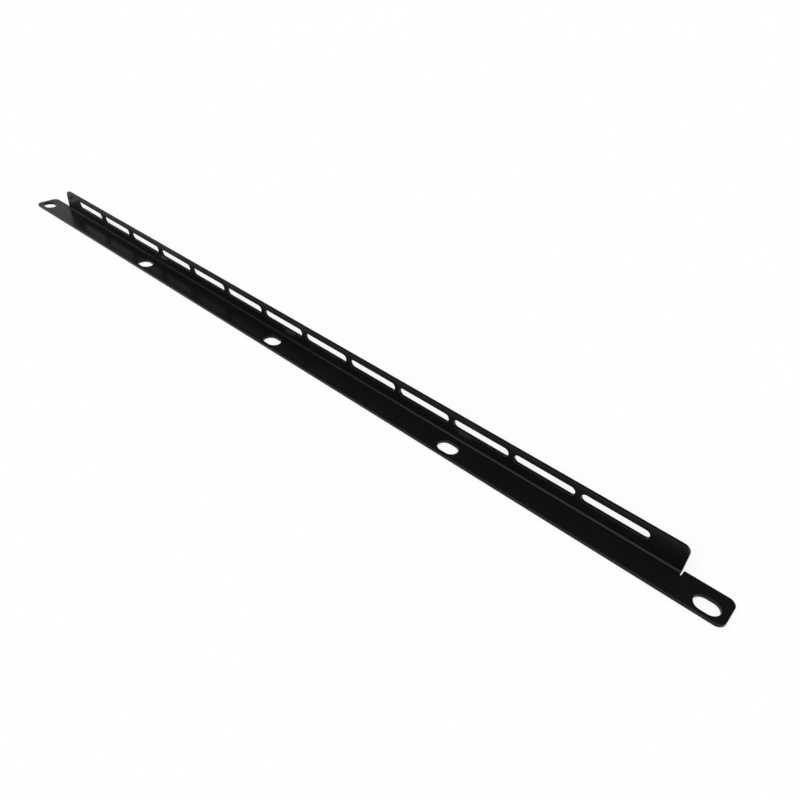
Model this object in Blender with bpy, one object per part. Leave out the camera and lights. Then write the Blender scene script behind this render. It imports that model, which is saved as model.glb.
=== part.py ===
"""Rack cable lacing bar: one steel sheet, punched flat, folded once into an L and powder coated.

The bar lies on its wide leg, the plate. The narrow leg, the tie wall, stands up along the back. X runs
along the bar, and Y from the plate's free front edge to the tie wall. The origin is the middle of the
bar's footprint, on the surface that the plate rests on.

The sheet is drawn as its flat pattern and then folded. In the pattern, U runs along the bar and V across
it. V equals Y on the plate, and the wall's part of the pattern lies beyond the fold line.
"""

import math

import bmesh
import bpy
from mathutils import Vector

MM = 0.001

# Rack: distance between the screw holes of its left and right rails
RACK_HOLE_SPACING = 465.1 * MM

# Section of the L, and the sheet with its coat
PLATE_DEPTH = 14.4 * MM
WALL_HEIGHT = 13.7 * MM
SHEET = 1.6 * MM

# Fold between plate and wall. The neutral line, which keeps its length in the fold, lies this share of
# the sheet's thickness away from the inside.
FOLD_INNER_RADIUS = 1.0 * MM
FOLD_NEUTRAL_SHARE = 0.42
FOLD_SEGMENTS = 8

# Rack tabs, where the plate runs on past the wall
TAB_LENGTH = 20.7 * MM
OUTER_CORNER_RADIUS = 3.3 * MM

# Relief slit that ends the fold at each tab: a narrow cut with a round end, on past the fold line
RELIEF_WIDTH = 0.5 * MM
RELIEF_OVERCUT = 0.4 * MM
SLIT_CORNER_RADIUS = 0.5 * MM

# Slots on one line of the plate: the outer two take the rack screws, the rest are spread between them
PLATE_SLOT_COUNT = 5
PLATE_SLOT_LENGTH = 9.9 * MM
PLATE_SLOT_WIDTH = 7.2 * MM
PLATE_SLOT_SETBACK = 5.4 * MM
TAB_SLOT_END_SETBACK = 7.95 * MM

# Tie slots, which share the length of the wall between its end lands
TIE_SLOT_COUNT = 13
TIE_SLOT_WIDTH = 4.1 * MM
TIE_SLOT_DROP = 4.8 * MM
TIE_BRIDGE = 2.75 * MM
WALL_END_LAND = 14.8 * MM

# Edge as the coat rounds it
EDGE_RADIUS = 0.2 * MM
EDGE_SEGMENTS = 2

ARC_STEP = math.radians(15)
SMOOTH_ANGLE = math.radians(30)
MERGE_DISTANCE = 0.001 * MM

COAT_COLOUR = (0.005, 0.0045, 0.0046, 1.0)
COAT_ROUGHNESS = 0.4
COAT_METALLIC = 0.0

# Places and lengths that follow from the sizes
FRONT = -PLATE_DEPTH / 2
BACK = PLATE_DEPTH / 2
BAR_LENGTH = RACK_HOLE_SPACING + 2 * TAB_SLOT_END_SETBACK
WALL_LENGTH = BAR_LENGTH - 2 * TAB_LENGTH
FOLD_OUTER_RADIUS = FOLD_INNER_RADIUS + SHEET
FOLD_LINE = BACK - FOLD_OUTER_RADIUS
FOLD_ALLOWANCE = (FOLD_INNER_RADIUS + FOLD_NEUTRAL_SHARE * SHEET) * math.pi / 2
TIE_SLOT_PITCH = (WALL_LENGTH - 2 * WALL_END_LAND + TIE_BRIDGE) / TIE_SLOT_COUNT
TIE_SLOT_LENGTH = TIE_SLOT_PITCH - TIE_BRIDGE
PLATE_SLOT_PITCH = RACK_HOLE_SPACING / (PLATE_SLOT_COUNT - 1)


def clear_scene():
    for item in list(bpy.data.objects):
        bpy.data.objects.remove(item, do_unlink=True)


def pattern_v(height):
    """V in the flat pattern of a height on the folded wall."""
    return FOLD_LINE + FOLD_ALLOWANCE + height - FOLD_OUTER_RADIUS


def arc(centre, radius, start, end):
    """Points on an arc, both ends included."""
    steps = max(2, round(abs(end - start) / ARC_STEP))
    angles = [start + (end - start) * step / steps for step in range(steps + 1)]
    return [centre + radius * Vector((math.cos(angle), math.sin(angle))) for angle in angles]


def obround(u, v, length, width):
    """Closed outline of a slot with round ends, its length along U."""
    radius = width / 2
    reach = Vector((length / 2 - radius, 0))
    right = arc(Vector((u, v)) + reach, radius, -math.pi / 2, math.pi / 2)
    left = arc(Vector((u, v)) - reach, radius, math.pi / 2, 3 * math.pi / 2)
    return right + left


def slot_row(count, pitch, v, length, width):
    """Equally spaced slots about the middle of the bar."""
    return [obround((index - (count - 1) / 2) * pitch, v, length, width) for index in range(count)]


def rounded(corners):
    """Closed outline through (u, v, radius) corners, each with an arc in place of its point."""
    outline = []
    for index, (u, v, radius) in enumerate(corners):
        corner = Vector((u, v))
        back = (Vector(corners[index - 1][:2]) - corner).normalized()
        ahead = (Vector(corners[(index + 1) % len(corners)][:2]) - corner).normalized()
        half = back.angle(ahead) / 2
        centre = corner + (back + ahead).normalized() * radius / math.sin(half)
        first = corner + back * radius / math.tan(half) - centre
        last = corner + ahead * radius / math.tan(half) - centre
        start = math.atan2(first.y, first.x)
        for place in arc(centre, radius, start, start - first.angle_signed(last)):
            if not outline or (outline[-1] - place).length > MERGE_DISTANCE:
                outline.append(place)
    return outline


def sheet_outline():
    """Outer edge of the flat pattern: plate, tabs, relief slits and wall."""
    bar_end = BAR_LENGTH / 2
    wall_end = WALL_LENGTH / 2
    slit_end = FOLD_LINE - RELIEF_OVERCUT
    right = [
        (bar_end, FRONT, OUTER_CORNER_RADIUS),
        (bar_end, BACK, OUTER_CORNER_RADIUS),
        (wall_end + RELIEF_WIDTH, BACK, SLIT_CORNER_RADIUS),
        (wall_end + RELIEF_WIDTH, slit_end, RELIEF_WIDTH / 2),
        (wall_end, slit_end, RELIEF_WIDTH / 2),
        (wall_end, pattern_v(WALL_HEIGHT), OUTER_CORNER_RADIUS),
    ]
    left = [(-u, v, radius) for u, v, radius in reversed(right)]
    return rounded(right + left)


def slot_outlines():
    """Every slot of the flat pattern."""
    plate_line = FRONT + PLATE_SLOT_SETBACK
    wall_line = pattern_v(WALL_HEIGHT - TIE_SLOT_DROP)
    in_plate = slot_row(PLATE_SLOT_COUNT, PLATE_SLOT_PITCH, plate_line, PLATE_SLOT_LENGTH, PLATE_SLOT_WIDTH)
    in_wall = slot_row(TIE_SLOT_COUNT, TIE_SLOT_PITCH, wall_line, TIE_SLOT_LENGTH, TIE_SLOT_WIDTH)
    return in_plate + in_wall


def flat_sheet():
    """Mesh of the punched sheet before it is folded: filled outlines with thickness and round edges."""
    curve = bpy.data.curves.new("flat_pattern", "CURVE")
    curve.dimensions = "2D"
    curve.fill_mode = "BOTH"
    curve.extrude = SHEET / 2 - EDGE_RADIUS
    curve.bevel_depth = EDGE_RADIUS
    curve.bevel_resolution = EDGE_SEGMENTS - 1
    curve.offset = -EDGE_RADIUS
    for outline in [sheet_outline()] + slot_outlines():
        spline = curve.splines.new("POLY")
        spline.points.add(len(outline) - 1)
        for point, place in zip(spline.points, outline):
            point.co = (place.x, place.y, 0.0, 1.0)
        spline.use_cyclic_u = True
    drawing = bpy.data.objects.new("flat_pattern", curve)
    data = bpy.data.meshes.new_from_object(drawing)
    bpy.data.objects.remove(drawing)
    return data


def fold_up(mesh):
    """Turn the wall's part of the sheet up round the fold line, with the tabs left flat."""
    for step in range(FOLD_SEGMENTS + 1):
        line = FOLD_LINE + FOLD_ALLOWANCE * step / FOLD_SEGMENTS
        whole = mesh.verts[:] + mesh.edges[:] + mesh.faces[:]
        bmesh.ops.bisect_plane(
            mesh, geom=whole, dist=MERGE_DISTANCE, plane_co=(0, line, 0), plane_no=(0, 1, 0)
        )
    middle_of_slit = (WALL_LENGTH + RELIEF_WIDTH) / 2
    for vert in mesh.verts:
        u, v, depth = vert.co
        if v <= FOLD_LINE or abs(u) > middle_of_slit:
            continue
        angle = min((v - FOLD_LINE) / FOLD_ALLOWANCE, 1.0) * math.pi / 2
        rise = max(v - FOLD_LINE - FOLD_ALLOWANCE, 0.0)
        radius = FOLD_OUTER_RADIUS - depth
        vert.co.y = FOLD_LINE + radius * math.sin(angle)
        vert.co.z = FOLD_OUTER_RADIUS - radius * math.cos(angle) + rise


def coat_material():
    material = bpy.data.materials.new("black_powder_coat")
    material.use_nodes = True
    shader = material.node_tree.nodes["Principled BSDF"]
    shader.inputs["Base Color"].default_value = COAT_COLOUR
    shader.inputs["Roughness"].default_value = COAT_ROUGHNESS
    shader.inputs["Metallic"].default_value = COAT_METALLIC
    return material


def make_lacing_bar():
    data = flat_sheet()
    mesh = bmesh.new()
    mesh.from_mesh(data)
    bmesh.ops.remove_doubles(mesh, verts=mesh.verts, dist=MERGE_DISTANCE)
    bmesh.ops.translate(mesh, vec=(0, 0, SHEET / 2), verts=mesh.verts)
    fold_up(mesh)
    bmesh.ops.recalc_face_normals(mesh, faces=mesh.faces)
    mesh.to_mesh(data)
    mesh.free()
    data.name = "lacing_bar"
    data.materials.clear()
    data.materials.append(coat_material())
    data.shade_smooth()
    data.set_sharp_from_angle(angle=SMOOTH_ANGLE)
    bar = bpy.data.objects.new("lacing_bar", data)
    bpy.context.scene.collection.objects.link(bar)


clear_scene()
make_lacing_bar()
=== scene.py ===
"""Looks of the rack cable lacing bar: one punched and folded steel sheet with a black powder coat.

The CAD bar is replaced by the same bar with finer arcs, finer round edges and exact surface normals. As in
the CAD, the sheet is drawn as its flat pattern, in U along the bar and V across it, and then folded.
"""

import math

import bmesh
import bpy
from mathutils import Matrix, Quaternion, Vector


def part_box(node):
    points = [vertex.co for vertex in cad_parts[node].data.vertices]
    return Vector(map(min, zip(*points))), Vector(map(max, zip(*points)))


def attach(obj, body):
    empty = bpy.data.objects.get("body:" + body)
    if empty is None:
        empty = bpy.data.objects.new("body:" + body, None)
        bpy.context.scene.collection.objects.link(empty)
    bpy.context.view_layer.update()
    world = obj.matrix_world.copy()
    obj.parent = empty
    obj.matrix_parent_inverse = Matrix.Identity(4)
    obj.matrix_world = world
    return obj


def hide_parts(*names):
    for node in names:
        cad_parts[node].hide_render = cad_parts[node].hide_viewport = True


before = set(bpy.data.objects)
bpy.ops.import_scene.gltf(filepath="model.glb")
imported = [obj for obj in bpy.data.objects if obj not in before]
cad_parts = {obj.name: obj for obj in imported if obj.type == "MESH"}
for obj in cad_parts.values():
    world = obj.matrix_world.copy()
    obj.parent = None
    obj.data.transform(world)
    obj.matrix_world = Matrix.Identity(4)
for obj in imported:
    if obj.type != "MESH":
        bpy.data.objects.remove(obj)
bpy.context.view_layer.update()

MM = 0.001

# Overall sizes, read from the frame
LOW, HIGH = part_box("lacing_bar")
BAR_LENGTH = HIGH.x - LOW.x
FRONT = LOW.y
BACK = HIGH.y
WALL_HEIGHT = HIGH.z - LOW.z

# Sheet with its coat, and the fold. The neutral line, which keeps its length in the fold, lies this share
# of the sheet's thickness away from the inside.
SHEET = 1.6 * MM
FOLD_INNER_RADIUS = 1.0 * MM
FOLD_NEUTRAL_SHARE = 0.42
FOLD_SEGMENTS = 24
FOLD_OUTER_RADIUS = FOLD_INNER_RADIUS + SHEET
FOLD_LINE = BACK - FOLD_OUTER_RADIUS
FOLD_ALLOWANCE = (FOLD_INNER_RADIUS + FOLD_NEUTRAL_SHARE * SHEET) * math.pi / 2

# Tabs, corners and relief slits
TAB_LENGTH = 20.7 * MM
WALL_LENGTH = BAR_LENGTH - 2 * TAB_LENGTH
OUTER_CORNER_RADIUS = 3.3 * MM
RELIEF_WIDTH = 0.5 * MM
RELIEF_OVERCUT = 0.4 * MM
SLIT_CORNER_RADIUS = 0.5 * MM

# Slots in the plate, the outer two of which take the rack screws
PLATE_SLOT_COUNT = 5
PLATE_SLOT_LENGTH = 9.9 * MM
PLATE_SLOT_WIDTH = 7.2 * MM
PLATE_SLOT_SETBACK = 5.4 * MM
TAB_SLOT_END_SETBACK = 7.95 * MM
PLATE_SLOT_PITCH = (BAR_LENGTH - 2 * TAB_SLOT_END_SETBACK) / (PLATE_SLOT_COUNT - 1)

# Tie slots, which share the length of the wall between its end lands
TIE_SLOT_COUNT = 13
TIE_SLOT_WIDTH = 4.1 * MM
TIE_SLOT_DROP = 4.8 * MM
TIE_BRIDGE = 2.75 * MM
WALL_END_LAND = 14.8 * MM
TIE_SLOT_PITCH = (WALL_LENGTH - 2 * WALL_END_LAND + TIE_BRIDGE) / TIE_SLOT_COUNT
TIE_SLOT_LENGTH = TIE_SLOT_PITCH - TIE_BRIDGE

# Edge as the coat rounds it
EDGE_RADIUS = 0.2 * MM
EDGE_SEGMENTS = 4

ARC_STEP = math.radians(6)
MERGE_DISTANCE = 0.001 * MM

# Powder coat: the colours of its patches, and its shine
COAT_DARK = (0.0040, 0.0036, 0.0037, 1.0)
COAT_PALE = (0.0064, 0.0059, 0.0059, 1.0)
COAT_SPECULAR = 0.16
COAT_SMOOTHEST = 0.22
COAT_ROUGHEST = 0.30

# Patches, orange peel and grit of the coat. Each is a noise with a scale per metre, and the last two are a
# relief with a height. GRIT_RANGE is the part of the grit's noise that takes the coat from its smoothest
# to its roughest.
PATCH_SCALE = 45.0
PATCH_DETAIL = 3.0
PEEL_SCALE = 900.0
PEEL_DETAIL = 1.0
PEEL_STRENGTH = 0.25
PEEL_HEIGHT = 0.03 * MM
GRIT_SCALE = 4200.0
GRIT_DETAIL = 2.0
GRIT_FINE_SHARE = 0.6
GRIT_RANGE = (0.3, 0.7)
GRIT_STRENGTH = 0.35
GRIT_HEIGHT = 0.012 * MM

# Camera. The photograph is square. The aim is the place at the middle of the picture, in the plane that the
# bar rests on, and the roll is about the line to it.
PHOTO_SIDE_PX = 800
FOCAL_LENGTH_PX = 687.4
SENSOR_MM = 36.0
CAMERA_PLACE = Vector((239.6, -193.09, 196.92)) * MM
CAMERA_AIM = Vector((78.3, 9.92, 0.0)) * MM
CAMERA_ROLL = math.radians(4.94)
CAMERA_CLIP_START = 10 * MM
CAMERA_CLIP_END = 100.0

# White floor, its side in metres, and the studio round it. BACKDROP_EDGE gives the heights of direction, as
# the sine of the angle above the floor, at which the white backdrop begins to end and has ended.
WHITE = (1.0, 1.0, 1.0, 1.0)
WHITE_STRENGTH = 1.0
FLOOR_COLOUR = (0.95, 0.95, 0.95, 1.0)
FLOOR_SIDE = 24.0
FLOOR_DROP = 0.02 * MM
FLOOR_WHITE_SHARE = 0.7
AMBIENT_LIGHT = 0.4
STUDIO_DARK = 0.05
BACKDROP_EDGE = (0.25, 0.5)

# Lamps, with the direction that the light of each comes from
KEY_DIRECTION = (-0.1, -0.55, 0.8)
KEY_STRENGTH = 2.1
FILL_DIRECTION = (0.5, 0.2, 0.8)
FILL_STRENGTH = 0.4
LAMP_SPREAD = math.radians(60)


def pattern_v(height):
    """V in the flat pattern of a height on the folded wall."""
    return FOLD_LINE + FOLD_ALLOWANCE + height - FOLD_OUTER_RADIUS


def rounded(corners, facing=1):
    """Closed outline through (u, v, radius) corners in anticlockwise order, each with an arc in place of
    its point. Gives a (place, normal) pair for each point. The normals face out of the outline, or into
    it with facing -1."""
    outline = []
    for index, (u, v, radius) in enumerate(corners):
        corner = Vector((u, v))
        back = (Vector(corners[index - 1][:2]) - corner).normalized()
        ahead = (Vector(corners[(index + 1) % len(corners)][:2]) - corner).normalized()
        bend = 1 if back.cross(ahead) < 0 else -1
        half = back.angle(ahead) / 2
        centre = corner + (back + ahead).normalized() * radius / math.sin(half)
        first = corner + back * radius / math.tan(half) - centre
        sweep = (math.pi - 2 * half) * bend
        steps = max(2, round(abs(sweep) / ARC_STEP))
        for step in range(steps + 1):
            spoke = first.copy()
            spoke.rotate(Matrix.Rotation(sweep * step / steps, 2))
            place = centre + spoke
            if outline and (outline[-1][0] - place).length < MERGE_DISTANCE:
                continue
            outline.append((place, spoke.normalized() * bend * facing))
    if (outline[0][0] - outline[-1][0]).length < MERGE_DISTANCE:
        outline.pop()
    return outline


def sheet_outline():
    """Outer edge of the flat pattern: plate, tabs, relief slits and wall."""
    bar_end = BAR_LENGTH / 2
    wall_end = WALL_LENGTH / 2
    slit_end = FOLD_LINE - RELIEF_OVERCUT
    right = [
        (bar_end, FRONT, OUTER_CORNER_RADIUS),
        (bar_end, BACK, OUTER_CORNER_RADIUS),
        (wall_end + RELIEF_WIDTH, BACK, SLIT_CORNER_RADIUS),
        (wall_end + RELIEF_WIDTH, slit_end, RELIEF_WIDTH / 2),
        (wall_end, slit_end, RELIEF_WIDTH / 2),
        (wall_end, pattern_v(WALL_HEIGHT), OUTER_CORNER_RADIUS),
    ]
    left = [(-u, v, radius) for u, v, radius in reversed(right)]
    return rounded(right + left)


def slot_row(count, pitch, v, length, width):
    """Outlines of equally spaced slots with round ends, about the middle of the bar."""
    outlines = []
    for index in range(count):
        u = (index - (count - 1) / 2) * pitch
        sides = (u - length / 2, u + length / 2)
        edges = (v - width / 2, v + width / 2)
        corners = [(sides[0], edges[0]), (sides[1], edges[0]), (sides[1], edges[1]), (sides[0], edges[1])]
        outlines.append(rounded([(*corner, width / 2) for corner in corners], facing=-1))
    return outlines


def slot_outlines():
    """Every slot of the flat pattern."""
    plate_line = FRONT + PLATE_SLOT_SETBACK
    wall_line = pattern_v(WALL_HEIGHT - TIE_SLOT_DROP)
    in_plate = slot_row(PLATE_SLOT_COUNT, PLATE_SLOT_PITCH, plate_line, PLATE_SLOT_LENGTH, PLATE_SLOT_WIDTH)
    in_wall = slot_row(TIE_SLOT_COUNT, TIE_SLOT_PITCH, wall_line, TIE_SLOT_LENGTH, TIE_SLOT_WIDTH)
    return in_plate + in_wall


def edge_profile():
    """(inset, height, tilt) of each ring round the sheet's edge, from its underside to its top. The tilt
    is the angle of the surface's normal above the sheet."""
    profile = []
    for step in range(EDGE_SEGMENTS + 1):
        tilt = math.pi / 2 * (step / EDGE_SEGMENTS - 1)
        profile.append((EDGE_RADIUS * (1 - math.cos(tilt)), EDGE_RADIUS * (1 + math.sin(tilt)), tilt))
    return profile + [(inset, SHEET - height, -tilt) for inset, height, tilt in reversed(profile)]


def sheet_edge(mesh, outline, normal_layer):
    """Edge of the sheet along one outline. Gives its rings of points, from the underside to the top."""
    rings = []
    for inset, height, tilt in edge_profile():
        ring = []
        for place, normal in outline:
            at = place - normal * inset
            across = normal * math.cos(tilt)
            vert = mesh.verts.new((at.x, at.y, height))
            vert[normal_layer] = Vector((across.x, across.y, math.sin(tilt)))
            ring.append(vert)
        rings.append(ring)
    for lower, upper in zip(rings, rings[1:]):
        for index in range(len(lower)):
            mesh.faces.new((lower[index - 1], lower[index], upper[index], upper[index - 1]))
    return rings


def flat_sheet(mesh, normal_layer):
    """Punched sheet before it is folded, with the normal of its surface kept on each point."""
    underside = []
    top = []
    for outline in [sheet_outline()] + slot_outlines():
        rings = sheet_edge(mesh, outline, normal_layer)
        underside.append(rings[0])
        top.append(rings[-1])
    for rings in (underside, top):
        edges = []
        for ring in rings:
            edges += [mesh.edges.get((ring[index - 1], ring[index])) for index in range(len(ring))]
        bmesh.ops.triangle_fill(mesh, edges=edges, use_beauty=True)


def fold_up(mesh, normal_layer):
    """Turn the wall's part of the sheet up round the fold line, with the tabs left flat."""
    for step in range(FOLD_SEGMENTS + 1):
        line = FOLD_LINE + FOLD_ALLOWANCE * step / FOLD_SEGMENTS
        whole = mesh.verts[:] + mesh.edges[:] + mesh.faces[:]
        bmesh.ops.bisect_plane(
            mesh, geom=whole, dist=MERGE_DISTANCE, plane_co=(0, line, 0), plane_no=(0, 1, 0)
        )
    middle_of_slit = (WALL_LENGTH + RELIEF_WIDTH) / 2
    for vert in mesh.verts:
        u, v, depth = vert.co
        if v <= FOLD_LINE or abs(u) > middle_of_slit:
            continue
        angle = min((v - FOLD_LINE) / FOLD_ALLOWANCE, 1.0) * math.pi / 2
        rise = max(v - FOLD_LINE - FOLD_ALLOWANCE, 0.0)
        radius = FOLD_OUTER_RADIUS - depth
        vert.co.y = FOLD_LINE + radius * math.sin(angle)
        vert.co.z = FOLD_OUTER_RADIUS - radius * math.cos(angle) + rise
        vert[normal_layer] = Matrix.Rotation(angle, 3, "X") @ vert[normal_layer]


def make_bar():
    """The folded bar as one closed mesh that carries its own surface normals."""
    mesh = bmesh.new()
    normal_layer = mesh.verts.layers.float_vector.new("surface_normal")
    flat_sheet(mesh, normal_layer)
    fold_up(mesh, normal_layer)
    bmesh.ops.recalc_face_normals(mesh, faces=mesh.faces)
    normals = [vert[normal_layer].normalized() for vert in mesh.verts]
    mesh.verts.layers.float_vector.remove(normal_layer)
    data = bpy.data.meshes.new("coated_bar")
    mesh.to_mesh(data)
    mesh.free()
    data.shade_smooth()
    data.normals_split_custom_set_from_vertices(normals)
    bar = bpy.data.objects.new("coated_bar", data)
    bpy.context.scene.collection.objects.link(bar)
    return bar


class Nodes:
    """Short way to add and link the nodes of a material or world. Each value is a number, a colour or the
    output that gives it."""

    def __init__(self, owner):
        owner.use_nodes = True
        self.tree = owner.node_tree
        self.tree.nodes.clear()

    def put(self, value, target):
        if isinstance(value, bpy.types.NodeSocket):
            self.tree.links.new(value, target)
        else:
            target.default_value = value

    def add(self, kind, values=None, **properties):
        """New node with these properties. In values, each socket's name or number has its value."""
        node = self.tree.nodes.new(kind)
        for name, value in properties.items():
            setattr(node, name, value)
        for socket, value in (values or {}).items():
            self.put(value, node.inputs[socket])
        return node

    def combine(self, operation, first, second):
        values = {0: first, 1: second}
        return self.add("ShaderNodeMath", values, operation=operation).outputs["Value"]

    def blend(self, data_type, factor, first, second):
        values = {"Factor": factor, "A": first, "B": second}
        return self.add("ShaderNodeMix", values, data_type=data_type).outputs["Result"]

    def noise(self, place, scale, detail, fine_share=0.5):
        values = {"Vector": place, "Scale": scale, "Detail": detail, "Roughness": fine_share}
        return self.add("ShaderNodeTexNoise", values).outputs["Fac"]

    def ranged(self, value, low, high, to_low, to_high):
        values = {"Value": value, "From Min": low, "From Max": high, "To Min": to_low, "To Max": to_high}
        return self.add("ShaderNodeMapRange", values).outputs["Result"]

    def bump(self, relief, strength, height, under=None):
        """Surface normal of a relief, laid on that of the relief under it."""
        values = {"Height": relief, "Strength": strength, "Distance": height}
        if under is not None:
            values["Normal"] = under
        return self.add("ShaderNodeBump", values).outputs["Normal"]


def powder_coat():
    """Satin black powder coat: fine grit, a slight orange peel and faint patches in its colour."""
    material = bpy.data.materials.new("black_powder_coat")
    nodes = Nodes(material)
    place = nodes.add("ShaderNodeTexCoord").outputs["Object"]
    patches = nodes.noise(place, PATCH_SCALE, PATCH_DETAIL)
    peel = nodes.noise(place, PEEL_SCALE, PEEL_DETAIL)
    grit = nodes.noise(place, GRIT_SCALE, GRIT_DETAIL, GRIT_FINE_SHARE)
    peel_normal = nodes.bump(peel, PEEL_STRENGTH, PEEL_HEIGHT)
    shader = nodes.add("ShaderNodeBsdfPrincipled", {
        "Base Color": nodes.blend("RGBA", patches, COAT_DARK, COAT_PALE),
        "Roughness": nodes.ranged(grit, *GRIT_RANGE, COAT_SMOOTHEST, COAT_ROUGHEST),
        "Specular IOR Level": COAT_SPECULAR,
        "Normal": nodes.bump(grit, GRIT_STRENGTH, GRIT_HEIGHT, under=peel_normal),
    })
    nodes.add("ShaderNodeOutputMaterial", {"Surface": shader.outputs["BSDF"]})
    return material


def floor_material():
    """Floor that stays white to the camera and in reflections, and keeps a soft part of the shadow."""
    material = bpy.data.materials.new("white_floor")
    nodes = Nodes(material)
    rays = nodes.add("ShaderNodeLightPath").outputs
    shown = nodes.combine("MAXIMUM", rays["Is Camera Ray"], rays["Is Glossy Ray"])
    shown = nodes.combine("MAXIMUM", shown, rays["Is Transmission Ray"])
    lit = nodes.add("ShaderNodeBsdfDiffuse", {"Color": FLOOR_COLOUR})
    white = nodes.add("ShaderNodeEmission", {"Color": WHITE, "Strength": WHITE_STRENGTH})
    mix = nodes.add("ShaderNodeMixShader", {
        "Fac": nodes.combine("MULTIPLY", shown, FLOOR_WHITE_SHARE),
        1: lit.outputs["BSDF"],
        2: white.outputs["Emission"],
    })
    nodes.add("ShaderNodeOutputMaterial", {"Surface": mix.outputs["Shader"]})
    return material


def make_floor():
    """Floor just under the bar."""
    half = FLOOR_SIDE / 2
    corners = [(-half, -half, 0.0), (half, -half, 0.0), (half, half, 0.0), (-half, half, 0.0)]
    data = bpy.data.meshes.new("floor")
    data.from_pydata(corners, [], [(0, 1, 2, 3)])
    data.materials.append(floor_material())
    floor = bpy.data.objects.new("floor", data)
    bpy.context.scene.collection.objects.link(floor)
    floor.location.z = LOW.z - FLOOR_DROP
    return floor


def light_world():
    """Soft light from all round and a white background. In reflections the white ends at the backdrop's
    top edge, above which the studio is dark."""
    world = bpy.data.worlds.new("studio")
    bpy.context.scene.world = world
    nodes = Nodes(world)
    direction = nodes.add("ShaderNodeTexCoord").outputs["Generated"]
    height = nodes.add("ShaderNodeSeparateXYZ", {"Vector": direction}).outputs["Z"]
    rays = nodes.add("ShaderNodeLightPath").outputs
    mirrored = nodes.ranged(height, *BACKDROP_EDGE, WHITE_STRENGTH, STUDIO_DARK)
    unseen = nodes.blend("FLOAT", rays["Is Glossy Ray"], AMBIENT_LIGHT, mirrored)
    shown = nodes.combine("MAXIMUM", rays["Is Camera Ray"], rays["Is Transmission Ray"])
    strength = nodes.blend("FLOAT", shown, unseen, WHITE_STRENGTH)
    background = nodes.add("ShaderNodeBackground", {"Color": WHITE, "Strength": strength})
    nodes.add("ShaderNodeOutputWorld", {"Surface": background.outputs["Background"]})


def add_sun(name, direction, strength):
    """Distant soft lamp. Its light comes from this direction."""
    data = bpy.data.lights.new(name, "SUN")
    data.energy = strength
    data.angle = LAMP_SPREAD
    lamp = bpy.data.objects.new(name, data)
    lamp.rotation_mode = "QUATERNION"
    lamp.rotation_quaternion = (-Vector(direction)).to_track_quat("-Z", "Y")
    bpy.context.scene.collection.objects.link(lamp)


def make_camera():
    """Camera at the photograph's place, with its angle of view."""
    data = bpy.data.cameras.new("photo_camera")
    data.sensor_width = SENSOR_MM
    data.lens = FOCAL_LENGTH_PX / PHOTO_SIDE_PX * SENSOR_MM
    data.clip_start = CAMERA_CLIP_START
    data.clip_end = CAMERA_CLIP_END
    camera = bpy.data.objects.new("photo_camera", data)
    camera.location = CAMERA_PLACE
    camera.rotation_mode = "QUATERNION"
    look = (CAMERA_AIM - CAMERA_PLACE).to_track_quat("-Z", "Y")
    camera.rotation_quaternion = look @ Quaternion((0, 0, 1), CAMERA_ROLL)
    bpy.context.scene.collection.objects.link(camera)
    bpy.context.scene.camera = camera


bar = make_bar()
bar.data.materials.append(powder_coat())
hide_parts("lacing_bar")
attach(bar, "root")

make_floor()
light_world()
add_sun("key", KEY_DIRECTION, KEY_STRENGTH)
add_sun("fill", FILL_DIRECTION, FILL_STRENGTH)
make_camera()
bpy.context.scene.view_settings.view_transform = "Standard"
